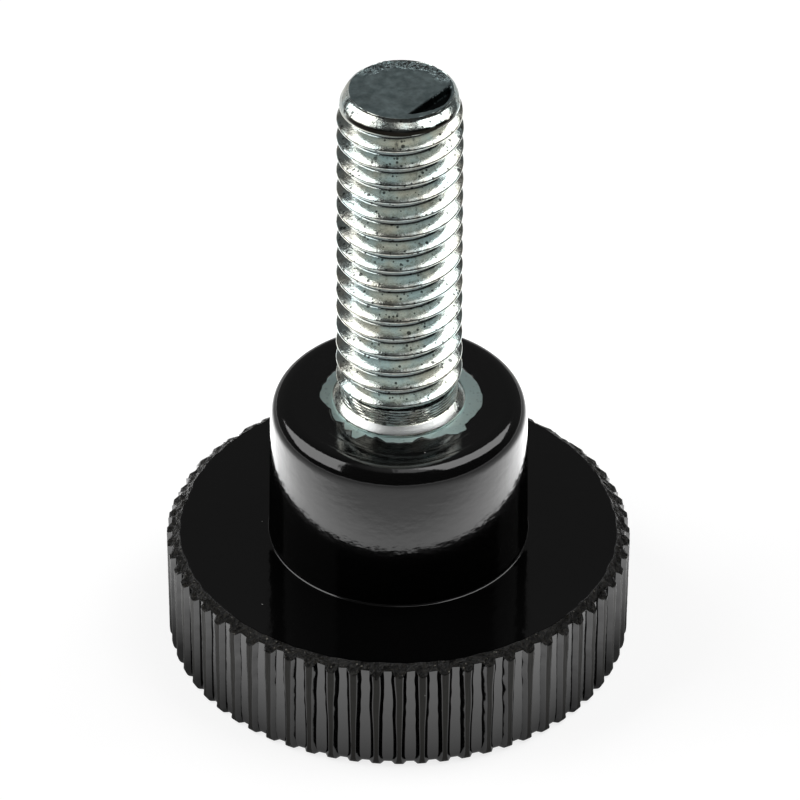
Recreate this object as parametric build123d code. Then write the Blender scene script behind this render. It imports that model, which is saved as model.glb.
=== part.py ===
from build123d import *
from math import cos, radians, sin, sqrt, tan
import os

# Thumb screw, in millimetres, standing on its finger face with the stud pointing up.
# The origin is the middle of the finger face and +Z runs up along the stud.
# It has two pieces: a head moulded in hard black plastic, and the plated steel stud that the
# head is moulded onto. Neither moves on the other.

# Disc of the head, the part that the fingers turn
disc_diameter = 22.0         # over the ridges, at the widest height
disc_thickness = 5.92
disc_draft = 1.1             # degrees, narrower towards the finger face, so that it leaves the mould
foot_radius = 0.38           # rounding between the side and the finger face

# Ridges round the disc
ridge_count = 63
ridge_height = 0.22
ridge_crest_width = 0.33
ridge_flank_run = 0.19       # how far each flank spreads sideways on its way down to the groove
ridge_root_depth = 0.9       # how far a ridge runs into the disc, which hides its inner end

# Band round the stud side of the disc, left where the moulding flash was turned off
band_width = 0.57
band_height = 0.43

# Boss of the head, the part that meets the clamped work
boss_diameter = 12.27        # at its foot
boss_height = 7.76
boss_draft = 0.5             # degrees, narrower towards the stud
boss_edge_radius = 0.95
boss_foot_radius = 0.1       # hollow rounding in the corner with the disc

# Stud outside the head; heights are taken from the boss face
stud_length = 18.1           # along the axis
thread_diameter = 5.95       # outside diameter of a standard 6 mm coarse thread
point_diameter = 4.94        # flat end, inside the end chamfer
point_height = 0.5
end_slant = 3.1              # degrees, the end was sheared and its -Y side is the higher one
end_allowance = 0.3          # extra length that the slanted cut takes off
neck_diameter = 5.55
neck_height = 1.3            # where the plain neck ends and the thread begins
neck_lead = 0.2              # slope between the neck and the thread
root_height = 0.47           # top of the sloped root between the neck and the shoulder
root_rim = 0.1               # upright rim of the root, below its slope
root_diameter = 6.3

# Stud inside the head
shoulder_diameter = 8.2
shoulder_thickness = 1.2
waist_diameter = 6.0         # groove behind the shoulder, which the moulding flows into
waist_length = 1.6
anchor_diameter = 8.2        # knurled collar that keeps the stud from turning
anchor_length = 3.6
anchor_chamfer = 0.4
knurl_count = 16
knurl_depth = 0.35

head_height = disc_thickness + boss_height
widest_height = disc_thickness - band_height
outside_radius = disc_diameter / 2


def side_radius(height):
    """Radius over the ridges at a height on the drafted side of the disc."""
    return outside_radius - (widest_height - height) * tan(radians(disc_draft))


def disc_outline(inset):
    """Half section of the disc, drawn in by the inset, with its rounded foot.

    Two bevels stand for the rounding, because it is cut into a strip for every ridge and groove.
    """
    foot = side_radius(0) - inset
    shoulder = side_radius(foot_radius) - inset
    top = side_radius(disc_thickness) - inset
    middle = foot_radius * (1 - sqrt(0.5))
    with BuildSketch(Plane.XZ) as section:
        with BuildLine():
            Polyline((0, 0), (foot - foot_radius, 0), (foot - middle, middle),
                     (shoulder, foot_radius), (top, disc_thickness), (0, disc_thickness), close=True)
        make_face()
    return section.sketch


def ridge_bars():
    """Straight bars, one for each ridge, whose ends and tips stand out past the disc."""
    overrun = ridge_height / 2
    slope = ridge_flank_run / ridge_height
    tip = ridge_crest_width / 2 - overrun * slope
    root = ridge_crest_width / 2 + ridge_root_depth * slope
    outer = outside_radius + overrun
    inner = outside_radius - ridge_root_depth
    with BuildPart() as bars:
        with BuildSketch():
            with PolarLocations(0, ridge_count, start_angle=-90):
                Polygon((inner, -root), (outer, -tip), (outer, tip), (inner, root), align=None)
        extrude(amount=disc_thickness)
    return bars.part


def turned_band():
    """Ring of material that is turned off the stud side of the rim, leaving the band."""
    overrun = 1.0
    slope = band_height / band_width
    low = outside_radius + overrun
    with BuildPart() as ring:
        with BuildSketch(Plane.XZ):
            with BuildLine():
                Polyline((outside_radius - band_width - overrun / slope, disc_thickness + overrun),
                         (low, widest_height - overrun * slope),
                         (low, disc_thickness + overrun), close=True)
            make_face()
        revolve(axis=Axis.Z)
    return ring.part


def boss():
    """Drafted boss with a rounded top edge."""
    foot = boss_diameter / 2
    top = foot - boss_height * tan(radians(boss_draft))
    with BuildPart() as body:
        with BuildSketch(Plane.XZ) as section:
            with BuildLine():
                Polyline((0, disc_thickness / 2), (foot, disc_thickness / 2), (foot, disc_thickness),
                         (top, head_height), (0, head_height), close=True)
            make_face()
            fillet(section.vertices().group_by(Axis.Y)[-1].sort_by(Axis.X)[-1], boss_edge_radius)
        revolve(axis=Axis.Z)
    return body.part


def boss_foot():
    """Ring with a hollow rounding, in the corner between the boss and the disc."""
    foot = boss_diameter / 2
    inner, outer = foot - boss_foot_radius, foot + boss_foot_radius
    bottom, top = disc_thickness - boss_foot_radius, disc_thickness + boss_foot_radius
    wall = foot - boss_foot_radius * tan(radians(boss_draft))
    middle = boss_foot_radius * sqrt(0.5)
    with BuildPart() as ring:
        with BuildSketch(Plane.XZ):
            with BuildLine():
                Polyline((wall, top), (inner, top), (inner, bottom), (outer, bottom), (outer, disc_thickness))
                ThreePointArc((outer, disc_thickness), (outer - middle, top - middle), (wall, top))
            make_face()
        revolve(axis=Axis.Z)
    return ring.part


def threaded_stud():
    """Turned stud: slanted end, chamfer, thread at its outside size, neck, shoulder and anchor."""
    face = head_height
    end = face + stud_length
    thread = thread_diameter / 2
    point = point_diameter / 2
    chamfer_slope = (thread - point) / point_height
    uncut_end = end + end_allowance
    neck = neck_diameter / 2
    shoulder = shoulder_diameter / 2
    waist = waist_diameter / 2
    anchor = anchor_diameter / 2
    under_shoulder = face - shoulder_thickness
    anchor_top = under_shoulder - waist_length
    anchor_base = anchor_top - anchor_length
    with BuildPart() as stud:
        with BuildSketch(Plane.XZ):
            with BuildLine():
                Polyline((0, uncut_end), (point - end_allowance * chamfer_slope, uncut_end),
                         (thread, end - point_height), (thread, face + neck_height + neck_lead),
                         (neck, face + neck_height), (neck, face + root_height),
                         (root_diameter / 2, face + root_rim), (root_diameter / 2, face), (shoulder, face),
                         (shoulder, under_shoulder), (waist, under_shoulder), (waist, anchor_top),
                         (anchor - anchor_chamfer, anchor_top), (anchor, anchor_top - anchor_chamfer),
                         (anchor, anchor_base + anchor_chamfer), (anchor - anchor_chamfer, anchor_base),
                         (0, anchor_base), close=True)
            make_face()
        revolve(axis=Axis.Z)
        slant = radians(end_slant)
        split(bisect_by=Plane(origin=(0, 0, end), z_dir=(0, sin(slant), cos(slant))), keep=Keep.BOTTOM)
        with BuildSketch(Plane.XY.offset(anchor_base)):
            with PolarLocations(anchor, knurl_count):
                Polygon((-knurl_depth, 0), (knurl_depth, -2 * knurl_depth),
                        (knurl_depth, 2 * knurl_depth), align=None)
        extrude(amount=anchor_length, mode=Mode.SUBTRACT)
    return stud.part


def head(stud):
    """Disc, ridges and boss as one moulding, formed round the stud."""
    core = revolve(disc_outline(ridge_height), Axis.Z)
    envelope = revolve(disc_outline(0), Axis.Z)
    ridges = ridge_bars() & envelope
    return core + ridges - turned_band() + boss() + boss_foot() - stud


def main():
    stud = threaded_stud()
    pieces = {"knob": head(stud), "threaded_stud": stud}
    os.makedirs("parts", exist_ok=True)
    for name, solid in pieces.items():
        export_step(solid, f"parts/{name}.step")
        print(name, "solids", len(solid.solids()), "volume", round(solid.volume, 3))


main()
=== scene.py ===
# %% [markdown]
# # A thumb screw: black moulded head, plated steel stud
# The real object is two pieces. A steel stud was turned, thread-rolled and zinc plated, and a black
# head was then moulded onto it. The CAD model holds their sizes and their places. This file gives
# them the surfaces that the CAD leaves out: the thread, the worn ridges, the rough band where the
# moulding flash was turned off, and the ragged skin of plastic round the foot of the stud.
# All shapes are worked out in millimetres with numpy and are written to Blender in metres.

# %% Load the fixed frame
import math

import bmesh
import bpy
import numpy as np
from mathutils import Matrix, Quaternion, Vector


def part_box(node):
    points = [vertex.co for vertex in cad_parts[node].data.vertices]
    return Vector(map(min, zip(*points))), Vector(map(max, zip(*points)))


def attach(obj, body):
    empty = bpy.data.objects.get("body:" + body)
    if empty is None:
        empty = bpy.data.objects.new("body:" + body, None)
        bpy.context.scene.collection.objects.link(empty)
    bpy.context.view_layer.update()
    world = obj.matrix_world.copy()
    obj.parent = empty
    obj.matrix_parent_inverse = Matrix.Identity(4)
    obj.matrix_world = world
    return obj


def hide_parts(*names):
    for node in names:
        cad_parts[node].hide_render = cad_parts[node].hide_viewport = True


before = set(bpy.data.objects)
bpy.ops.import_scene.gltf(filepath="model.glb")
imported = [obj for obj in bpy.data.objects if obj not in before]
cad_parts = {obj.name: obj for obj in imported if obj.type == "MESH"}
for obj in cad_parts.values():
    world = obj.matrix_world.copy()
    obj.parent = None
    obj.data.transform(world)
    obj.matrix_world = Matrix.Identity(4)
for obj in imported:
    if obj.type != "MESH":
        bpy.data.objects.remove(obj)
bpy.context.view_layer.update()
MM = 0.001

# %% [markdown]
# ## Sizes
# The overall heights come from the CAD nodes' own boxes, so they follow the model. The other sizes
# repeat the CAD model's, because this file can't read its source.

# %% Sizes shared with the CAD model, in millimetres
stud_foot, stud_top = (corner[2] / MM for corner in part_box("threaded_stud"))
head_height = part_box("knob")[1][2] / MM
outside_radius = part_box("knob")[1][0] / MM

disc_thickness = 5.92
disc_draft = math.tan(math.radians(1.1))
widest_height = 5.49
foot_radius = 0.38
ridge_count = 63
ridge_height = 0.22
crest_half_width = (0.12, 0.20)  # at the finger face and at the band
flank_run = 0.16
band_width = 0.57
band_slope = 0.43 / band_width
boss_radius = 6.135
boss_draft = math.tan(math.radians(0.5))
boss_edge = 0.95
fillet = 0.1

stud_length = 18.1  # from the boss face to the end, along the axis
stud_end = head_height + stud_length
end_slant = math.tan(math.radians(3.1))
rim_radius = 2.46
thread_radius = 2.975
groove_radius = 2.39
pitch = 1.0
neck_radius = 2.775
neck_foot, neck_top = 0.47, 1.25  # above the boss face
shoulder_radius = 4.1
shoulder_thickness = 1.2
waist_radius = 3.0
anchor_radius = 4.1
anchor_length = 3.6
anchor_chamfer = 0.4
print("head", round(head_height, 2), "mm high,", round(2 * outside_radius, 2), "mm wide; stud from",
      round(stud_foot, 2), "to", round(stud_top, 2))

# %% [markdown]
# ## From tables of points to closed skins
# Both pieces are round, so each is a table of points: one row for each step along the half section,
# one column for each step round the axis. Squares join neighbouring rows and columns. For the
# thread, the last column joins the first column some rows further on, as a spiral stair does, so
# the rows can run along the thread and its crest stays sharp and even.

# %% Squares and skins
def squares(rows, columns, turn):
    """Corners of the squares of a table whose last column joins its first, `turn` rows further on."""
    row, column = np.meshgrid(np.arange(rows - 1), np.arange(columns), indexing="ij")
    jump = np.where(column == columns - 1, turn, 0)
    inside = row + 1 + jump < rows
    row, column, jump = row[inside], column[inside], jump[inside]
    beside = (column + 1) % columns
    return np.stack([row * columns + column, (row + jump) * columns + beside,
                     (row + 1 + jump) * columns + beside, (row + 1) * columns + column], axis=1)


def skin(name, tables, marks, sharp):
    """Closed skin over tables of (angle, radius, height, turn), with marks painted on its points.

    A point is (radius cos angle, radius sin angle, height). Points that fall together are merged,
    which closes the poles and the ends of the thread. Edges over `sharp` degrees stay crisp.
    """
    points, faces, first = [], [], 0
    for angle, radius, height, turn in tables:
        angle, radius, height = np.broadcast_arrays(angle, radius, height)
        points.append(np.stack([radius * np.cos(angle), radius * np.sin(angle), height], -1).reshape(-1, 3))
        faces.append(squares(*height.shape, turn) + first)
        first += height.size
    mesh = bpy.data.meshes.new(name)
    mesh.from_pydata(np.concatenate(points) * MM, [], np.concatenate(faces).tolist())
    for mark, values in marks.items():
        mesh.attributes.new(mark, "FLOAT", "POINT").data.foreach_set("value", values.ravel())
    work = bmesh.new()
    work.from_mesh(mesh)
    bmesh.ops.remove_doubles(work, verts=work.verts, dist=1e-7)
    work.to_mesh(mesh)
    work.free()
    mesh.shade_smooth()
    mesh.set_sharp_from_angle(angle=math.radians(sharp))
    piece = bpy.data.objects.new(name, mesh)
    bpy.context.collection.objects.link(piece)
    print(name, len(mesh.vertices), "points,", sum(len(f.vertices) - 2 for f in mesh.polygons), "triangles")
    return piece

# %% [markdown]
# ## Unevenness
# Nothing on a used screw is perfectly even. One function gives all the wobbles: it adds up sine
# waves in random directions, all near one size. Each has a whole number of waves in a turn, so the
# pattern closes on itself. The seed is fixed, so every run gives the same screw.

# %% Wobble
def wobble(angle, height, size, around, seed, waves=20):
    """Sum of sine waves near `size` mm long on a cylinder of radius `around` mm.

    It stays mostly between -1 and 1.

    Each wave is sin(n angle + k height + phase), with n whole and n / around and k both random
    and up to 2 pi / size.
    """
    random = np.random.default_rng(seed)
    steepest = 2 * math.pi / size
    total = 0.0
    for _ in range(waves):
        n = round(random.uniform(-1, 1) * steepest * around)
        k = random.uniform(0.3, 1) * steepest
        total = total + np.sin(n * angle + k * height + random.uniform(0, 2 * math.pi))
    return total / math.sqrt(waves)


def ease(value, low, high):
    """0 below low, 1 above high, and 3t^2 - 2t^3 between them."""
    share = np.clip((value - low) / (high - low), 0, 1)
    return share * share * (3 - 2 * share)


trial = wobble(np.linspace(0, 2 * math.pi, 500), 0.0, 1.0, 11.0, 1)
print("a wobble round the disc runs from", round(float(trial.min()), 2), "to", round(float(trial.max()), 2))

# %% [markdown]
# ## The ridged side of the head
# The real ridges are ribs a third of a millimetre wide, with steep flat flanks, worn crests and
# flat grooves between them. Cutting them with booleans would leave a poor mesh. Here twelve columns
# of the table belong to each ridge, and they follow its edges up the side, so a chipped or worn
# edge is only a small shift of two columns.

# %% Columns of one ridge
half_ridge = np.array([  # share of the crest's half width, share of the flank, share of the height
    (1, 1.2, 0), (1, 1, 0), (1, 0.5, 0.5), (1, 0, 1), (0.66, 0, 1), (0.22, 0, 1)])
crest_share, flank_share, height_share = np.concatenate([half_ridge, half_ridge[::-1]]).T
ridge_columns_each = 2 * len(half_ridge)
columns = ridge_columns_each * ridge_count
ridge_angle = -math.pi / 2 + 2 * math.pi * np.arange(ridge_count) / ridge_count
ridge_angle = np.repeat(ridge_angle, ridge_columns_each)
column_side = np.tile(np.repeat([-1.0, 1.0], len(half_ridge)), ridge_count)
column_crest, column_flank, column_height = (np.tile(a, ridge_count)
                                             for a in (crest_share, flank_share, height_share))


def ridge_columns(height, wear):
    """Angle of each column at each height: the ridge's angle plus its edge's distance / radius.

    The crest widens towards the band, and again below 0.6 mm into a bell-shaped foot. Its edges
    wander by `wear`, each by itself.
    """
    edge = ridge_angle + 0.4 * column_side / outside_radius
    low, high = crest_half_width
    crest = low + (high - low) * ease(height, 1.0, 5.2) + 0.09 * ease(-height, -0.60, -0.05)
    crest = crest + wear * 0.022 * wobble(edge * 40, height, 1.6, 1.0, 3, 8)
    flank = flank_run + wear * 0.012 * wobble(edge * 55, height, 0.7, 1.0, 4)
    reach = column_crest * crest + column_flank * flank
    return ridge_angle + column_side * reach / outside_radius


even_angle = ridge_columns(np.array([[3.0]]), 0.0)
ridge_pitch = 2 * math.pi * outside_radius / ridge_count
print(columns, "columns round the head, ridge pitch", round(ridge_pitch, 3), "mm")

# %% [markdown]
# Going up the side, the rows start at the rounded foot, climb the drafted wall, and end on the
# turned band. The band is a cone with the roughness of torn resin. Where the cone meets a crest it
# starts lower than where it meets a groove, which gives its scalloped lower edge. The cut
# was a little off centre, so the band is wider at the back.

# %% Rows of the side, from the finger face to the stud face of the disc
def side_radius(height):
    """Radius over the crests of the drafted side."""
    return outside_radius - (widest_height - height) * disc_draft


width_of_band = band_width + 0.17 * ease(np.sin(even_angle), -0.2, 0.3)


def foot_rows(count):
    """Quarter round from the finger face to the side."""
    turn = np.linspace(0, math.pi / 2, count)[:, None]
    height = foot_radius * (1 - np.cos(turn))
    crest = side_radius(foot_radius) - foot_radius * (1 - np.sin(turn))
    return ridge_columns(height, 0.0), crest - ridge_height * (1 - column_height), height + 0 * even_angle


def wall_rows(count):
    """Side of the disc, up to the slanted band, with worn crests."""
    share = np.linspace(0, 1, count + 1)[1:, None]
    top_radius = outside_radius - ridge_height * (1 - column_height)
    ragged = 0.06 * wobble(even_angle, 0.0 * even_angle, 1.1, 11, 7)
    notch = 0.07 + 0.09 * np.abs(wobble(ridge_angle, 0.0, 2.2, 11, 8))
    ragged = ragged - notch * (1 - column_crest) * column_height
    top = disc_thickness - (top_radius - outside_radius + width_of_band) * band_slope + ragged
    height = foot_radius + (top - foot_radius) * share
    angle = ridge_columns(height, ease(share, 0.1, 0.5) * (0.3 + 0.7 * share))
    worn = 0.010 * column_height * np.abs(wobble(angle, height, 0.4, 11, 11)) * ease(height, 0.4, 1.2)
    return angle, side_radius(height) - ridge_height * (1 - column_height) - worn, height


def band_rows(count, wall):
    """Rough cone from the top of the wall to the edge of the stud face, torn below its plane."""
    share = np.linspace(0, 1, count + 1)[1:, None]
    angle = wall[0][-1] + (even_angle - wall[0][-1]) * share
    inner = outside_radius - width_of_band + 0.03 * wobble(even_angle, 0 * even_angle, 0.9, 10.5, 21)
    radius = wall[1][-1] + (inner - wall[1][-1]) * share
    height = wall[2][-1] + (disc_thickness - wall[2][-1]) * share
    torn = wobble(angle, radius, 0.24, 11, 22) + 0.6 * wobble(angle, radius, 0.7, 11, 23)
    dip = 0.040 * (torn - 1.3) * np.sin(math.pi * np.clip(share, 0, 1)) ** 0.5
    outward, upward = 0.63, 0.77  # direction that the cone faces
    return angle, radius + outward * dip, height + upward * dip


foot = foot_rows(7)
wall = wall_rows(38)
band = band_rows(10, wall)
print("side rows:", len(foot[2]), len(wall[2]), len(band[2]))

# %% [markdown]
# ## The plain turned parts of the head
# The stud face of the disc, the small rounding at the boss's foot, the drafted boss and its rounded
# edge are a half section that is the same all round. Two faint rings on the boss face are the marks
# of the mould's insert. A row just beside each edge keeps the shading of the flat stretches flat.

# %% Half section from the band to the boss face
def arc(centre, radius, start, stop, count):
    """Points (radius, height) on an arc, from one angle to the other, in degrees."""
    turn = np.radians(np.linspace(start, stop, count))
    return np.stack([centre[0] + radius * np.cos(turn), centre[1] + radius * np.sin(turn)], 1)


def ring_mark(radius, width, depth):
    """Shallow groove in the boss face, outer edge first, with a guard row each side."""
    steps = np.array([1.5, 1, 0.5, 0, -0.5, -1, -1.5])
    return np.stack([radius + steps * width, head_height - depth * np.array([0, 0, 0.7, 1, 0.7, 0, 0])], 1)


boss_top_radius = boss_radius - (head_height - disc_thickness) * boss_draft
edge_centre = (boss_top_radius - boss_edge, head_height - boss_edge)
stud_face = np.array([(r, disc_thickness) for r in (9.8, 8.0, 6.4)])
boss_foot = arc((boss_radius + fillet, disc_thickness + fillet), fillet, 270, 180, 7)
side_steps = np.array([0.25, 3.5, 6.7])
boss_side = np.stack([boss_radius - boss_draft * side_steps, disc_thickness + side_steps], 1)
boss_round = arc(edge_centre, boss_edge, 0.5, 90, 17)
face_edge = np.array([(boss_top_radius - boss_edge - 0.02, head_height)])
boss_face = np.concatenate([ring_mark(4.97, 0.03, 0.006), ring_mark(4.28, 0.04, 0.006)])
turned = np.concatenate([stud_face, boss_foot, boss_side, boss_round, face_edge, boss_face])
print("plain rows:", len(turned), "boss face radius", round(face_edge[0, 0], 2), "mm")

# %% [markdown]
# ## The skin of flash round the stud
# When the head was moulded, a little resin crept over the steel shoulder and set as a ragged skin
# three hundredths of a millimetre thick. Its edge has tongues and bays, closer to the stud in front
# than at the sides. The hidden rows go on down the shoulder, the waist and the knurled anchor, so
# the head is a true closed solid with a place for the stud.

# %% Ragged edge of the flash, and the pocket for the stud
flash = 0.03
flash_edge = np.array([  # degrees round the stud, radius
    (-180, 3.75), (-164, 3.32), (-156, 3.43), (-149, 3.47), (-143, 3.24), (-136, 3.52), (-131, 3.38),
    (-126, 3.76), (-122, 3.80), (-119, 3.24), (-112, 3.41), (-110, 3.22), (-105, 3.35), (-100, 3.51),
    (-80, 3.50), (-74, 3.24), (-71, 3.20), (-68, 3.40), (-64, 3.55), (-52, 3.57), (-46, 3.96), (-38, 4.00),
    (-34, 3.72), (-24, 3.80), (-10, 3.95), (8, 3.90), (30, 3.75), (60, 3.5), (110, 3.4), (150, 3.6),
    (180, 3.75)])


def flash_radius(angle):
    """Radius of the ragged edge: broad tongues and bays, with small teeth on them."""
    wrapped = (angle + math.pi) % (2 * math.pi) - math.pi
    broad = np.interp(wrapped, np.radians(flash_edge[:, 0]), flash_edge[:, 1])
    return np.clip(broad + 0.022 * wobble(angle, 0 * angle, 0.5, 3.6, 32), 3.19, 4.05)


knurl_count = 16
knurl_depth = 0.35


def knurled_radius(angle):
    """Radius of the anchor: V grooves, 0.35 mm deep and twice as wide as they are deep each side."""
    off = np.abs((angle + math.pi / knurl_count) % (2 * math.pi / knurl_count) - math.pi / knurl_count)
    return np.minimum(anchor_radius, anchor_radius - knurl_depth + off * anchor_radius / 2)


def anchor_rows(angle):
    """Waist and knurled anchor, from the shoulder's underside down to the stud's foot."""
    knurl = knurled_radius(angle)
    chamfered = np.minimum(knurl, anchor_radius - anchor_chamfer)
    shoulder_under = head_height - shoulder_thickness
    anchor_top = stud_foot + anchor_length
    radius = [shoulder_radius, waist_radius, waist_radius, chamfered, knurl, knurl, chamfered, 0.0]
    height = [shoulder_under, shoulder_under, anchor_top, anchor_top, anchor_top - anchor_chamfer,
              stud_foot + anchor_chamfer, stud_foot, stud_foot]
    return np.stack([r + 0 * angle for r in radius]), np.stack([h + 0 * angle for h in height])


ring = even_angle[0]
edge = flash_radius(ring)
flash_shares = np.array([0.4, 0.75, 0.92, 1.0])[:, None]
flash_start = 4.18  # radius where the boss face begins to run down over the shoulder
flash_r = flash_start + (edge - flash_start) * flash_shares
flash_h = head_height - flash * np.array([0, 0.0, 0.12, 0.95])[:, None] + 0 * edge
pocket_r, pocket_h = anchor_rows(ring)
pocket_r = np.concatenate([np.full((1, columns), shoulder_radius), pocket_r])
pocket_h = np.concatenate([np.full((1, columns), head_height - flash), pocket_h])
print("flash ends", round(float(edge.min()), 2), "to", round(float(edge.max()), 2), "mm from the axis")

# %% [markdown]
# ## The head
# All the rows are stacked into one table, from the middle of the finger face, up the outside and
# down into the pocket. Two marks ride on the points: whether each is on the middle of a crest, and
# whether it is on the torn band. The finish reads them later.

# %% Build the head
def plain(half_section):
    """Rows that are the same all round."""
    return tuple(np.repeat(half_section[:, i, None], columns, 1) for i in (0, 1))


def plain_angle(rows):
    """Evenly spread columns for as many rows."""
    return np.repeat(even_angle, len(rows), 0)


finger_face = plain(np.array([(0, 0), (4.0, 0), (8.0, 0), (10.2, 0)]))
band_guard = (even_angle, band[1][-1:] - 0.03, band[2][-1:])  # keeps the stud face's shading flat
turned_r, turned_h = plain(turned)
head_angle = np.concatenate([plain_angle(finger_face[0]), foot[0], wall[0], band[0], band_guard[0],
                             plain_angle(turned_r), plain_angle(flash_r), plain_angle(pocket_r)])
head_r = np.concatenate([finger_face[0], foot[1], wall[1], band[1], band_guard[1],
                         turned_r, flash_r, pocket_r])
head_h = np.concatenate([finger_face[1], foot[2], wall[2], band[2], band_guard[2],
                         turned_h, flash_h, pocket_h])

first_side = len(finger_face[0])
first_band = first_side + len(foot[2]) + len(wall[2])
middle_mark, band_mark = np.zeros_like(head_h), np.zeros_like(head_h)
middle_mark[first_side:first_band] = column_crest < 1
band_mark[first_band:first_band + len(band[2])] = 1
head = skin("moulded_head", [(head_angle, head_r, head_h, 0)],
            {"middle": middle_mark, "band": band_mark}, 30)
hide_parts("knob")
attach(head, "root")

# %% [markdown]
# ## The thread
# A rolled metric thread has 60 degree flanks, a rounded crest and a rounded root, one millimetre
# apart. It is right-handed: it climbs to the right in front. Rows follow the thread, so one crest
# is one unbroken line of points. The groove fades in over the first turn above the neck, the last
# crest dies away at the back, and at the end the thread fades into the rounded point.

# %% Thread profile: a round crest, straight flanks and a round root
thread_depth = thread_radius - groove_radius
flank_slope, flank_turn = math.tan(math.radians(60)), math.sin(math.radians(60))
crest_round = 0.085
crest_run, crest_drop = crest_round * flank_turn, crest_round / 2
root_room = 0.5 - crest_run - (thread_depth - crest_drop) / flank_slope
root_round = root_room / (flank_turn - 0.5 / flank_slope)
root_start = 0.5 - root_round * flank_turn


def thread_profile(step):
    """Depth below the crest at a share of a pitch from it, up to half a pitch.

    Crest and root are arcs, r - sqrt(r^2 - step^2) deep at the crest, and the flank between them
    has a slope of tan 60 degrees. The root's radius is the one that meets the flank smoothly.
    """
    crest_arc = crest_round - np.sqrt(np.maximum(crest_round ** 2 - step ** 2, 0))
    root_arc = thread_depth - root_round + np.sqrt(np.maximum(root_round ** 2 - (0.5 - step) ** 2, 0))
    flank = crest_drop + (step - crest_run) * flank_slope
    return np.where(step < crest_run, crest_arc, np.where(step > root_start, root_arc, flank))


crest_in_front = head_height + 1.65
half_steps = np.array([0, .022, .042, .06, crest_run, .14, .215, .28, root_start, .365, .405, .45, .5])
profile_step = np.concatenate([half_steps, 1 - half_steps[-2:0:-1]])
profile_depth = thread_profile(np.minimum(profile_step, 1 - profile_step))
steps = len(profile_step)
print("thread profile:", steps, "rows a turn, depth", round(float(profile_depth.max()), 3), "mm")

# %% [markdown]
# The rounded point has two half sections, one for the front and one for the back, because the bar
# was sheared off: the shear pressed a short flat chamfer in front and drew out a long one behind.
# Both are lists of (depth under the rim, radius), and the angle blends one into the other.

# %% Thread with its run-outs
front_point = np.array([(0, 2.46), (0.03, 2.48), (0.11, 2.52), (0.39, 2.95), (0.45, 2.97), (1.5, 2.975)])
back_point = np.array([(0, 2.45), (0.03, 2.48), (0.12, 2.58), (0.30, 2.68), (0.66, 2.82), (1.5, 2.975)])


def rim_height(angle):
    """Height of the slanted rim: the end less its slope times the distance behind the axis."""
    return stud_end - rim_radius * np.sin(angle) * end_slant


def point_radius(angle, height):
    """Radius of the point, read off two half sections by the depth under the rim.

    It is back + (front - back) times the share of the front, and 0.05 mm more towards +X.
    """
    depth = rim_height(angle) - height
    front, back = (np.interp(depth, *section.T) for section in (front_point, back_point))
    aside = 0.05 * np.cos(angle) * ease(-depth, -0.8, 0)
    return back + (front - back) * ease(-np.sin(angle), -0.1, 0.75) + aside


def thread(angle, height):
    """Radius of the threaded surface.

    Outside radius less the profile's depth at (height above the crest in front, less the part of a
    pitch that the crest has climbed) / pitch. What stands out of the neck's cylinder fades in
    first, what cuts into it fades in a turn later, and the point takes over at the end.
    """
    climb = (angle + math.pi / 2) / (2 * math.pi)
    phase = ((height - crest_in_front) / pitch - climb) % 1
    full = thread_radius - np.interp(phase, np.append(profile_step, 1), np.append(profile_depth, 0))
    proud = np.maximum(full - neck_radius, 0) * ease(height, head_height + 0.95, head_height + 1.25)
    cut = np.minimum(full - neck_radius, 0) * ease(height, head_height + 1.45, head_height + 1.95)
    finish = ease(height, stud_end - 0.72, stud_end - 0.50)
    limit = point_radius(angle, height)
    radius = np.minimum(neck_radius + proud + cut, limit)
    return radius + (limit - radius) * finish


stud_columns = 180
stud_angle = 2 * math.pi * np.arange(stud_columns)[None, :] / stud_columns
thread_low, thread_high = head_height + neck_top, stud_end - 0.40
turns = np.arange(math.floor(thread_low - crest_in_front) - 2, math.ceil(thread_high - crest_in_front) + 2)
along = (turns[:, None] + profile_step[None, :]).ravel() * pitch
thread_h = along[:, None] + crest_in_front + pitch * (stud_angle + math.pi / 2) / (2 * math.pi)
thread_h = np.clip(thread_h, thread_low, thread_high)
thread_r = thread(stud_angle, thread_h)
thinnest, widest = round(float(thread_r.min()), 2), round(float(thread_r.max()), 2)
print(len(turns), "turns of", steps, "rows; radius", thinnest, "to", widest)

# %% [markdown]
# ## The rest of the stud
# Below the thread come the neck with its turning lines, a small sloped collar and the shoulder
# under the flash. Above it is the sheared end: a slightly slanted face with a torn rim at the back
# and a hollow at the right, where the bar broke away.

# %% Neck, collar and shoulder
def neck_rows():
    """Neck with turning lines, from the collar to the first turn of the thread.

    A line is (half of 1 - cos(2 pi height / spacing + shift)) squared, so it is narrow.
    """
    height = np.linspace(neck_foot, neck_top, 46)[:, None]
    spacing = 0.155
    shift = 0.9 * wobble(stud_angle, 0.3 * height, 5.0, 2.8, 44)
    line = (0.5 - 0.5 * np.cos(2 * math.pi * height / spacing + shift)) ** 2
    depth = 0.045 * (1 + 0.5 * wobble(stud_angle, height, 0.8, 2.8, 41))
    radius = thread(stud_angle, head_height + height) - line * np.clip(depth, 0.01, 0.07)
    return radius, head_height + height + 0 * stud_angle


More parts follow.
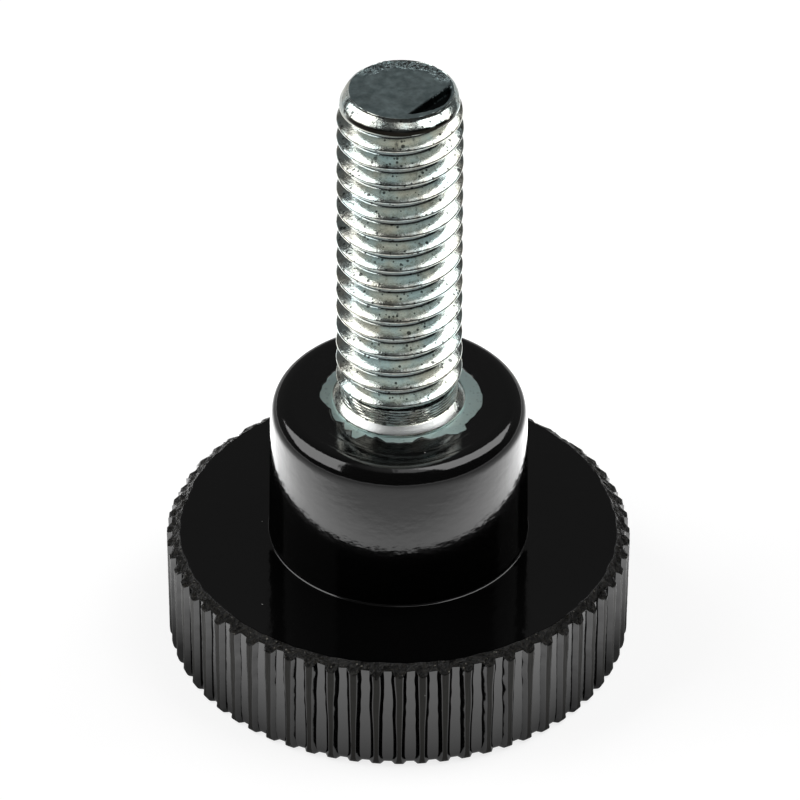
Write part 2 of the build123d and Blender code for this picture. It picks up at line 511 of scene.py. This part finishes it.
shoulder = head_height - flash
collar_section = np.array([  # radius, height above the shoulder
    (shoulder_radius, -0.001), (3.7, 0), (3.35, 0), (3.17, 0.0), (3.155, 0.02), (3.15, 0.10),
    (3.14, 0.15), (3.12, 0.185), (2.98, 0.30), (2.84, 0.41), (2.80, 0.44), (2.765, 0.455)])
collar_r = collar_section[:, 0, None] + 0 * stud_angle
collar_h = shoulder + collar_section[:, 1, None] + 0 * stud_angle
uneven = np.array([0, 0, 0, 0, 0, 1, 1, 1, .6, .2, 0, 0])[:, None]  # how uneven each row is
collar_r = collar_r + 0.02 * uneven * wobble(stud_angle, collar_h, 1.5, 3.1, 42)
dented = np.array([0, 1, 1, .3, 0, 0, 0, 0, 0, 0, 0, 0])[:, None]  # only the shoulder is
collar_h = collar_h - 0.012 * dented * np.abs(wobble(stud_angle, 5 * collar_r, 0.6, 3.5, 43))
neck_r, neck_h = neck_rows()
print("neck radius", round(float(neck_r.min()), 3), "to", round(float(neck_r.max()), 3), "mm")

# %% [markdown]
# The end face is a round table of points too, from its rim inwards. Its rows are closest near the
# rim, where the metal tore and where the hollow begins, and only a few cross its flat middle.

# %% Sheared end
def end_rows():
    """End face, from its rim to its middle, with a torn back rim and a hollow right of a chord.

    The chord is the line 0.779 x - 0.627 y = 1.61. Past it the face drops, and climbs back to a
    narrow lip at the rim.
    """
    rim, middle = [1.0, 0.985, 0.965, 0.945, 0.925], [0.5, 0.36, 0.18, 0.0]
    share = np.concatenate([rim, np.linspace(0.90, 0.60, 13), middle])[:, None]
    radius = point_radius(stud_angle, rim_height(stud_angle)) * share
    past = 0.779 * radius * np.cos(stud_angle) - 0.627 * radius * np.sin(stud_angle) - 1.61
    lip = 0.35 * ease(stud_angle, 1.6 * math.pi, 1.95 * math.pi) + 0.35 * ease(-stud_angle, -0.5, 0.0)
    lip = np.minimum(2.11 + lip, 2.36)
    hollow = ease(past, 0.0, 0.12) * ease(-radius, -lip - 0.06, -lip + 0.10)
    # Painted shade: the wall and floor of the hollow are marked to be painted black.
    hollow_shade = ease(past, -0.10, -0.02) * ease(-radius, -lip - 0.05, -lip + 0.02)
    tear = ease(share + 0.03 * wobble(stud_angle, 0, 0.8, 2.4, 54), 0.68, 0.84)
    back = ease(np.sin(stud_angle + 0.15), 0.25, 0.70) * tear
    torn = back * (0.5 + 0.5 * wobble(stud_angle, 3 * radius, 0.5, 2.4, 51))
    height = stud_end - end_slant * radius * np.sin(stud_angle) - 0.30 * hollow - 0.11 * torn
    height = height + 0.004 * wobble(stud_angle, 3 * radius, 1.2, 1.2, 52) - 0.006
    return radius, np.minimum(height, stud_top - 0.002), hollow_shade, np.clip(back, 0, 1)


# The third value is the mark of the painted shade in the hollow.
end_r, end_h, hollow, torn_rim = end_rows()
top_share = np.array([0.04, 0.1, 0.2, 0.32, 0.44, 0.56, 0.68, 0.78, 0.86, 0.92, 0.96, 0.99])[:, None]
top_h = thread_high + (rim_height(stud_angle) - thread_high) * top_share
top_r = point_radius(stud_angle, top_h)
top_r = top_r + 0.012 * wobble(stud_angle, top_h, 0.8, 2.7, 53) * ease(top_share, 0.0, 0.3)
top_h = np.minimum(top_h, stud_top - 0.01)
anchor_r, anchor_h = anchor_rows(stud_angle[0])
print("hollow", round(float(stud_end - end_h.min()), 2), "mm deep, highest point",
      round(float(end_h.max()), 3))

# %% [markdown]
# The stud is three tables in one skin: plain rows from the foot to the neck, the spiral rows of the
# thread, and plain rows for the point and the end face. Its marks say where the metal was cut or
# torn, where shade is painted in the hollow, under the chamfer and in the thread's roots, where a
# highlight is painted on the collar, and where the shoulder and the crests of the thread are.

# %% Build the stud
low_r = np.concatenate([anchor_r[::-1], collar_r, neck_r])
low_h = np.concatenate([anchor_h[::-1], collar_h, neck_h])
high_r = np.concatenate([thread(stud_angle, thread_high + 0 * stud_angle), top_r, end_r])
high_h = np.concatenate([thread_high + 0 * stud_angle, top_h, end_h])
all_r = np.concatenate([low_r.ravel(), thread_r.ravel(), high_r.ravel()])
all_h = np.concatenate([low_h.ravel(), thread_h.ravel(), high_h.ravel()])
all_angle = np.resize(stud_angle, all_r.size)


def end_mark(values):
    """Mark that is 0 on the whole stud but the sheared end."""
    return np.concatenate([np.zeros(all_r.size - end_r.size), (values + 0 * end_r).ravel()])


first_collar = len(anchor_r) * stud_columns
front_collar_highlight, shoulder_mark = np.zeros(all_r.size), np.zeros(all_r.size)
shoulder_mark[first_collar:first_collar + 5 * stud_columns] = 1
# Painted highlight: the collar is marked to be painted near white, on the front only.
front_collar_highlight[first_collar + 7 * stud_columns:first_collar + 10 * stud_columns] = 1
front_collar_highlight *= ease(-np.sin(all_angle), 0.30, 0.75)
threaded = ease(all_h, head_height + 1.3, head_height + 1.9) * ease(-all_h, 0.5 - stud_end, 0.75 - stud_end)
# Painted shade: the roots of the thread are marked to be painted darker.
root_shade_mark = threaded * ease(-all_r, -2.55, -2.40)
crest_line = threaded * ease(all_r, 2.70, 2.90)
# Painted shade: a dark band just under the chamfer, on the front only.
below_rim = stud_end - all_h
chamfer_shade_mark = ease(below_rim, 0.24, 0.30) * ease(-below_rim, -0.58, -0.52)
chamfer_shade_mark *= ease(-np.sin(all_angle), 0.35, 0.6) * ease(all_r, 2.9, 2.94)
stud = skin("plated_stud", [(stud_angle, low_r, low_h, 0), (stud_angle, thread_r, thread_h, steps),
                            (stud_angle, high_r, high_h, 0)],
            {"cut": end_mark(1.0), "hollow": end_mark(hollow), "torn": end_mark(torn_rim),
             "shoulder": shoulder_mark, "collar": front_collar_highlight, "root": root_shade_mark,
             "crest": crest_line, "chamfer_shade": chamfer_shade_mark}, 38)
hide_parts("threaded_stud")
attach(stud, "root")

# %% [markdown]
# ## Finishes: small tools
# A finish here is a plain shader whose colour, roughness and bump change over the surface. One
# helper adds a node and fills its sockets, and a few more give the outputs that are used most.

# %% Node helper
def add(tree, kind, inputs=None, **settings):
    """Adds a shader node; `inputs` gives each socket a value or another node's output."""
    made = tree.nodes.new(kind)
    for key, value in settings.items():
        setattr(made, key, value)
    for key, value in (inputs or {}).items():
        if isinstance(value, bpy.types.NodeSocket):
            tree.links.new(value, made.inputs[key])
        else:
            made.inputs[key].default_value = value
    return made


def math_node(tree, operation, *values):
    """Adds a Math node and gives its output."""
    return add(tree, "ShaderNodeMath", dict(enumerate(values)), operation=operation).outputs[0]


def blend(tree, share, first, second):
    """Adds a colour Mix node and gives its output: first where share is 0, second where it is 1."""
    return add(tree, "ShaderNodeMix", {0: share, 6: first, 7: second}, data_type="RGBA").outputs[2]


def step_up(tree, value, low, high):
    """Stretches a value so that low gives 0 and high gives 1."""
    return add(tree, "ShaderNodeMapRange", {0: value, 1: low, 2: high}).outputs[0]


def painted(tree, name):
    """Reads a mark that was painted on the mesh."""
    return add(tree, "ShaderNodeAttribute", attribute_name=name).outputs["Fac"]


helpers = (add, math_node, blend, step_up, painted)
print("node helpers:", ", ".join(helper.__name__ for helper in helpers))

# %% [markdown]
# Effects that both finishes need are node groups. Dust, pits and glints are all small spots, so one
# group makes them: it picks a few cells of a cell pattern and puts a round spot of its own size in
# each. It reads the place on the object, so the spots stay where they are from every side.

# %% Specks: round spots of mixed size in a few cells of a cell pattern
def new_group(name, inputs, outputs):
    """Empty node group with number sockets; gives the group and its input and output nodes."""
    group = bpy.data.node_groups.new(name, "ShaderNodeTree")
    for label, value in inputs.items():
        socket = group.interface.new_socket(label, in_out="INPUT", socket_type="NodeSocketFloat")
        socket.default_value = value
    for label in outputs:
        group.interface.new_socket(label, in_out="OUTPUT", socket_type="NodeSocketFloat")
    return group, group.nodes.new("NodeGroupInput").outputs, group.nodes.new("NodeGroupOutput").inputs


def use_group(tree, group, **values):
    """Places a group with its own values and gives its output."""
    made = add(tree, "ShaderNodeGroup", node_tree=group)
    for label, value in values.items():
        made.inputs[label.replace("_", " ")].default_value = value
    return made.outputs[0]


specks, given, result = new_group("specks", {"Per metre": 4000.0, "Share": 0.1, "Size": 0.2}, ["Mask"])
spot_place = add(specks, "ShaderNodeTexCoord").outputs["Object"]
cells = add(specks, "ShaderNodeTexVoronoi", {"Vector": spot_place, "Scale": given["Per metre"]})
parts = add(specks, "ShaderNodeSeparateColor", {0: cells.outputs["Color"]})
chosen = math_node(specks, "LESS_THAN", parts.outputs[0], given["Share"])
reach = math_node(specks, "MULTIPLY", parts.outputs[1], given["Size"])
near = math_node(specks, "LESS_THAN", cells.outputs["Distance"], reach)
specks.links.new(math_node(specks, "MULTIPLY", chosen, near), result["Mask"])
print("specks:", len(specks.nodes), "nodes")

# %% [markdown]
# The second group is plain noise for relief, clouds and stains. Squeezing the height before the
# noise is read makes its grains long and upright, as worn streaks are.

# %% Relief: noise that can be stretched along the axis
relief, given, result = new_group("relief", {"Per metre": 3000.0, "Upright": 1.0, "Detail": 3.0},
                                  ["Height"])
noise_place = add(relief, "ShaderNodeTexCoord").outputs["Object"]
axes = add(relief, "ShaderNodeSeparateXYZ", {0: noise_place}).outputs
upright = math_node(relief, "MULTIPLY", axes[2], given["Upright"])
stretched = add(relief, "ShaderNodeCombineXYZ", {0: axes[0], 1: axes[1], 2: upright})
noise = add(relief, "ShaderNodeTexNoise", {"Vector": stretched.outputs[0], "Scale": given["Per metre"],
                                           "Detail": given["Detail"], "Roughness": 0.55})
relief.links.new(noise.outputs["Fac"], result["Height"])
print("relief:", len(relief.nodes), "nodes")

# %% [markdown]
# ## Black moulded resin
# The mould was polished, so the resin is glossy and nearly black, with a slight orange peel. The
# crests are worn dull along their middles, the turned band is torn and brownish with glinting
# grains, and dust lies here and there. The marks on the mesh say where each of these is.

# %% Resin colour
def new_finish(name, piece):
    """New material on a piece; gives its node tree and its Principled shader."""
    material = bpy.data.materials.new(name)
    material.use_nodes = True
    piece.data.materials.append(material)
    return material.node_tree, material.node_tree.nodes["Principled BSDF"]


resin, resin_shader = new_finish("black_resin", head)
resin_shader.inputs["IOR"].default_value = 1.63
worn = painted(resin, "middle")
torn = painted(resin, "band")
dust = use_group(resin, specks, Per_metre=1700.0, Share=0.05, Size=0.07)
glints = use_group(resin, specks, Per_metre=9000.0, Share=0.10, Size=0.42)
peel = use_group(resin, relief, Per_metre=1500.0, Upright=1.6, Detail=2.0)
grain = use_group(resin, relief, Per_metre=7000.0, Upright=1.0, Detail=5.0)
streaks = use_group(resin, relief, Per_metre=6500.0, Upright=0.12, Detail=3.0)

colour = blend(resin, worn, (0.002, 0.002, 0.002, 1), (0.012, 0.0115, 0.010, 1))
band_colour = blend(resin, step_up(resin, grain, 0.45, 0.72), (0.001, 0.001, 0.0005, 1),
                    (0.034, 0.029, 0.018, 1))
band_colour = blend(resin, glints, band_colour, (0.35, 0.33, 0.28, 1))
colour = blend(resin, torn, colour, band_colour)
colour = blend(resin, dust, colour, (0.40, 0.40, 0.39, 1))
resin.links.new(colour, resin_shader.inputs["Base Color"])
print("resin colour:", len(resin.nodes), "nodes")

# %% [markdown]
# Wear, tearing and dust each make the resin duller, and the greatest of the three counts. Worn
# resin also throws back less light than the polished skin does: where its Metallic is high, the
# share of light it reflects is its own dark colour. Three bumps add up: peel, streaks and grain.
# Light that has bounced off one face of the resin is polarised, and the next face hardly returns
# it. The renderer leaves that out, so a face that is seen in another one is dimmed here.

# %% Resin gloss and relief
dull = math_node(resin, "MULTIPLY", worn, 0.46)
for mark, dullness in ((torn, 0.4), (dust, 0.6)):
    dull = math_node(resin, "MAXIMUM", dull, math_node(resin, "MULTIPLY", mark, dullness))
resin.links.new(math_node(resin, "ADD", dull, 0.09), resin_shader.inputs["Roughness"])
resin.links.new(math_node(resin, "MULTIPLY", worn, 0.8), resin_shader.inputs["Metallic"])
bump = add(resin, "ShaderNodeBump", {"Strength": 1.0, "Distance": 0.000008, "Height": peel})
for pattern, mark, height in ((streaks, worn, 0.00005), (grain, torn, 0.0009)):
    bump = add(resin, "ShaderNodeBump", {"Strength": 1.0, "Distance": height,
                                         "Height": math_node(resin, "MULTIPLY", pattern, mark),
                                         "Normal": bump.outputs[0]})
resin.links.new(bump.outputs[0], resin_shader.inputs["Normal"])
second_look = add(resin, "ShaderNodeLightPath").outputs["Is Glossy Ray"]
black = add(resin, "ShaderNodeBsdfDiffuse", {"Color": (0.001, 0.001, 0.001, 1)})
polarised = add(resin, "ShaderNodeMixShader", {0: math_node(resin, "MULTIPLY", second_look, 0.94),
                                               1: resin_shader.outputs[0], 2: black.outputs[0]})
resin.links.new(polarised.outputs[0], resin.nodes["Material Output"].inputs["Surface"])
print("resin:", len(resin.nodes), "nodes in all")

# %% [markdown]
# ## Zinc plate
# Bright zinc with a clear blue passivate is a slightly greenish-blue metal, clouded, stained and
# pitted with dark dots of two sizes. The finish starts from the clouds and lays one colour after
# another over them, each with its own share: blotches, stains on the crests, painted shade in the
# thread's roots, pits, a black band of painted shade under the chamfer on the front, a painted
# highlight that makes the collar bright on the front, and the dull shoulder.

# %% Zinc colour
zinc, zinc_shader = new_finish("zinc_plate", stud)
cut, hollow_shade_mark, ripped, flat = (painted(zinc, mark) for mark in ("cut", "hollow", "torn", "shoulder"))
collar, root, ridge, chamfer_shade = (painted(zinc, mark) for mark in ("collar", "root", "crest", "chamfer_shade"))
clouds = use_group(zinc, relief, Per_metre=700.0, Upright=1.0, Detail=3.0)
fine = use_group(zinc, relief, Per_metre=9000.0, Upright=1.0, Detail=4.0)
blotches = use_group(zinc, relief, Per_metre=2600.0, Upright=1.3, Detail=5.0)
small_pits = use_group(zinc, specks, Per_metre=6000.0, Share=0.36, Size=0.44)
large_pits = use_group(zinc, specks, Per_metre=2600.0, Share=0.32, Size=0.30)
pits = math_node(zinc, "MAXIMUM", small_pits, large_pits)
stains = math_node(zinc, "MULTIPLY", ridge, step_up(zinc, blotches, 0.42, 0.62))
zinc_colour = blend(zinc, step_up(zinc, clouds, 0.38, 0.62), (0.66, 0.77, 0.76, 1), (0.76, 0.77, 0.69, 1))
layers = [  # where, how much, colour
    (step_up(zinc, blotches, 0.58, 0.72), 0.45, (0.30, 0.29, 0.24, 1)),
    (stains, 0.5, (0.26, 0.24, 0.19, 1)),
    # painted shade in the roots of the thread
    (root, 0.55, (0.14, 0.19, 0.20, 1)),
    (pits, 0.85, (0.04, 0.045, 0.045, 1)),
    # painted shade under the chamfer, on the front
    (chamfer_shade, 1.0, (0.020, 0.018, 0.014, 1)),
    # painted highlight on the collar, on the front
    (collar, 1.0, (0.92, 0.94, 0.93, 1)),
    (flat, 0.8, (0.52, 0.66, 0.65, 1))]
for where, share, layer in layers:
    zinc_colour = blend(zinc, math_node(zinc, "MULTIPLY", where, share), zinc_colour, layer)
print("zinc colour:", len(layers), "layers,", len(zinc.nodes), "nodes")

# %% [markdown]
# The sheared end is thinly plated, so it is darker, with painted shade that makes the hollow black,
# and a black-speckled tear.
# It is dull, and so are the shoulder and the collar. The rest has a gloss that varies with the
# clouds.

# %% Sheared end, gloss and relief of the zinc
cut_colour = blend(zinc, step_up(zinc, blotches, 0.35, 0.7), (0.27, 0.35, 0.36, 1), (0.50, 0.62, 0.63, 1))
tear_share = math_node(zinc, "MULTIPLY", ripped, step_up(zinc, fine, 0.35, 0.6))
cut_colour = blend(zinc, tear_share, cut_colour, (0.05, 0.05, 0.05, 1))
zinc_colour = blend(zinc, cut, zinc_colour, cut_colour)
# painted shade: the hollow is painted black
zinc_colour = blend(zinc, hollow_shade_mark, zinc_colour, (0.008, 0.011, 0.011, 1))
zinc.links.new(zinc_colour, zinc_shader.inputs["Base Color"])
rough = math_node(zinc, "MAXIMUM", math_node(zinc, "MULTIPLY", cut, 0.24),
                  math_node(zinc, "MULTIPLY", flat, 0.42))
for mark, dullness in ((clouds, 0.20), (collar, 0.30)):
    rough = math_node(zinc, "ADD", rough, math_node(zinc, "MULTIPLY", mark, dullness))
zinc.links.new(math_node(zinc, "ADD", rough, 0.06), zinc_shader.inputs["Roughness"])
zinc_shader.inputs["Metallic"].default_value = 1.0
zinc_bump = add(zinc, "ShaderNodeBump", {"Strength": 1.0, "Distance": 0.000008, "Height": fine})
rip_bump = add(zinc, "ShaderNodeBump", {"Strength": 1.0, "Distance": 0.00012,
                                        "Height": math_node(zinc, "MULTIPLY", fine, ripped),
                                        "Normal": zinc_bump.outputs[0]})
zinc.links.new(rip_bump.outputs[0], zinc_shader.inputs["Normal"])
print("zinc:", len(zinc.nodes), "nodes in all")

# %% [markdown]
# ## The studio
# The gloss shows how the real studio was lit: two big soft boxes overhead, left and right, a weaker
# panel beside the right one, a narrow dark gap, dark walls, and a white floor all round.
# The floor is one sheet with three looks. The camera sees plain white with a little shadow. Gloss
# sees lit paper: a pool of light that fades with the distance from the screw, and a dark contact
# with the disc in front and at its sides. Everything else sees plain pale paper.

# %% Floor
def set_stops(ramp, levels):
    """Fills a colour ramp with (position, grey level) stops."""
    while len(ramp.elements) < len(levels):
        ramp.elements.new(0.5)
    for stop, (position, level) in zip(ramp.elements, levels):
        stop.position = position
        stop.color = (level, level, level, 1)


floor_mesh = bpy.data.meshes.new("floor")
floor_mesh.from_pydata([(-10, -10, 0), (10, -10, 0), (10, 10, 0), (-10, 10, 0)], [], [(0, 1, 2, 3)])
floor = bpy.data.objects.new("floor", floor_mesh)
bpy.context.collection.objects.link(floor)
paper, paper_shader = new_finish("white_paper", floor)
paper_shader.inputs["Base Color"].default_value = (0.8, 0.8, 0.8, 1)
paper_shader.inputs["Roughness"].default_value = 0.9
paper_shader.inputs["Specular IOR Level"].default_value = 0.0
light = add(paper, "ShaderNodeLightPath").outputs
mirrored = math_node(paper, "MAXIMUM", light["Is Glossy Ray"], light["Is Transmission Ray"])
glow = add(paper, "ShaderNodeEmission", {"Strength": 0.80})
shade = add(paper, "ShaderNodeBsdfDiffuse", {"Color": (0.32, 0.32, 0.32, 1)})
white = add(paper, "ShaderNodeAddShader", {0: glow.outputs[0], 1: shade.outputs[0]})
print("floor for the camera glows with", round(glow.inputs["Strength"].default_value, 2))

# %% Pool of light and contact shadow, as gloss sees them
floor_place = add(paper, "ShaderNodeTexCoord").outputs["Object"]
reach = add(paper, "ShaderNodeVectorMath", {0: floor_place, 1: (0, 0.015, 0)}, operation="DISTANCE")
pool = add(paper, "ShaderNodeValToRGB", {0: math_node(paper, "MULTIPLY", reach.outputs["Value"], 10.0)})
pool_levels = [  # distance in tenths of a metre, level
    (0.0, 0.92), (0.21, 0.88), (0.25, 0.69), (0.28, 0.57), (0.31, 0.49), (0.335, 0.39), (0.37, 0.23),
    (0.43, 0.18), (0.72, 0.115), (1.0, 0.09)]
set_stops(pool.color_ramp, pool_levels)
from_axis = add(paper, "ShaderNodeVectorMath", {0: floor_place}, operation="LENGTH").outputs["Value"]
floor_y = add(paper, "ShaderNodeSeparateXYZ", {0: floor_place}).outputs[1]
beside = math_node(paper, "MULTIPLY", step_up(paper, floor_y, -0.011, -0.004), 0.0022)
open_share = step_up(paper, math_node(paper, "SUBTRACT", from_axis, beside), 0.009, 0.017)
behind = step_up(paper, floor_y, 0.002, 0.009)
contact = math_node(paper, "MAXIMUM", math_node(paper, "MAXIMUM", open_share, 0.08), behind)
lit_level = math_node(paper, "MULTIPLY", math_node(paper, "MULTIPLY", pool.outputs[0], contact), 3.7)
lit_glow = add(paper, "ShaderNodeEmission", {"Strength": lit_level})
lit_shade = add(paper, "ShaderNodeBsdfDiffuse", {"Color": (0.12, 0.12, 0.12, 1)})
lit = add(paper, "ShaderNodeAddShader", {0: lit_glow.outputs[0], 1: lit_shade.outputs[0]})
bounce = add(paper, "ShaderNodeMixShader", {0: light["Is Camera Ray"], 1: paper_shader.outputs[0],
                                            2: white.outputs[0]})
paper_mix = add(paper, "ShaderNodeMixShader", {0: mirrored, 1: bounce.outputs[0], 2: lit.outputs[0]})
paper.links.new(paper_mix.outputs[0], paper.nodes["Material Output"].inputs["Surface"])
print("floor for gloss:", len(pool_levels), "steps of light over 0.1 m")

# %% [markdown]
# The world is the room: white at the horizon, where the floor goes on, dark walls, a grey ceiling
# and a slightly lighter wall behind the screw. Its strength follows the direction, from a ramp over
# the upward share.

# %% World: dark walls above a white horizon, a grey ceiling
world = bpy.data.worlds.new("studio")
bpy.context.scene.world = world
world.use_nodes = True
sky = world.node_tree
way = add(sky, "ShaderNodeSeparateXYZ", {0: add(sky, "ShaderNodeTexCoord").outputs["Generated"]})
upward = add(sky, "ShaderNodeValToRGB", {0: way.outputs[2]})
sky_levels = [(0.0, 1.0), (0.03, 0.9), (0.05, 0.03), (0.93, 0.03), (0.97, 0.15), (1.0, 0.25)]
set_stops(upward.color_ramp, sky_levels)
backward = math_node(sky, "MULTIPLY", step_up(sky, way.outputs[1], 0.0, 0.6), 0.058)
background = sky.nodes["Background"].inputs
background["Color"].default_value = (1, 1, 1, 1)
sky.links.new(math_node(sky, "ADD", upward.outputs[0], backward), background["Strength"])
print("sky levels:", [(round(s.position, 2), round(s.color[0], 3)) for s in upward.color_ramp.elements])

# %% [markdown]
# Each soft box is a flat lamp half a metre above the floor. Where its edges lie was read off the
# highlights on the thread, on the boss's rounded edge and on the chamfer of the stud.

# %% Soft boxes
box_height = 0.5


def soft_box(name, turn, near, far, left, right, level):
    """Flat lamp facing down over a rectangle, whose sides are shares of its height over the screw.

    Near and far are measured from the axis in the direction of `turn` degrees, left and right
    across it. Its power is pi times its area times its level, so it shines with that level in
    reflections.
    """
    data = bpy.data.lights.new(name, "AREA")
    data.shape = "RECTANGLE"
    data.size, data.size_y = (far - near) * box_height, (left - right) * box_height
    data.energy = math.pi * data.size * data.size_y * level
    lamp = bpy.data.objects.new(name, data)
    out, across, turned = (near + far) / 2, (left + right) / 2, math.radians(turn)
    lamp.location = np.array([out * math.cos(turned) - across * math.sin(turned),
                              out * math.sin(turned) + across * math.cos(turned), 1]) * box_height
    lamp.rotation_euler = (0, 0, turned)
    bpy.context.collection.objects.link(lamp)
    print(name, round(data.energy, 2), "W")


soft_box("soft_box_left", -133.6, 0.19, 1.90, -0.30, -2.1, 2.8)
soft_box("soft_box_right", -46.4, 0.00, 0.72, 1.46, 0.10, 2.8)
soft_box("soft_panel", 0.0, -0.02, 0.25, 0.20, -0.25, 0.85)

# %% [markdown]
# ## Camera
# The photograph is almost without perspective: a long lens, 38 degrees above the horizon, with the
# boss face in the middle of the frame. It was held a quarter of a degree off level, and stood a
# little to the left. Three turns in a row, written as quaternions, give exactly that.

# %% Camera
elevation = math.radians(37.9)
aside = math.radians(0.42)
roll = 0.0043
distance = 0.75
target = np.array([0.00005, 0.0, 0.01347])
camera_data = bpy.data.cameras.new("camera")
camera_data.sensor_width = 36.0
camera_data.lens = 715.5
camera_data.clip_start = 0.05
camera = bpy.data.objects.new("camera", camera_data)
away = (-math.sin(aside) * math.cos(elevation), -math.cos(aside) * math.cos(elevation), math.sin(elevation))
camera.location = target + distance * np.array(away)
camera.rotation_mode = "QUATERNION"
camera.rotation_quaternion = (Quaternion((0, 0, 1), -aside) @ Quaternion((1, 0, 0), math.pi / 2 - elevation)
                              @ Quaternion((0, 0, 1), roll))
bpy.context.collection.objects.link(camera)
bpy.context.scene.camera = camera
bpy.context.scene.view_settings.view_transform = "Standard"
print("camera at", [round(v, 3) for v in camera.location], "with a", camera_data.lens, "mm lens")
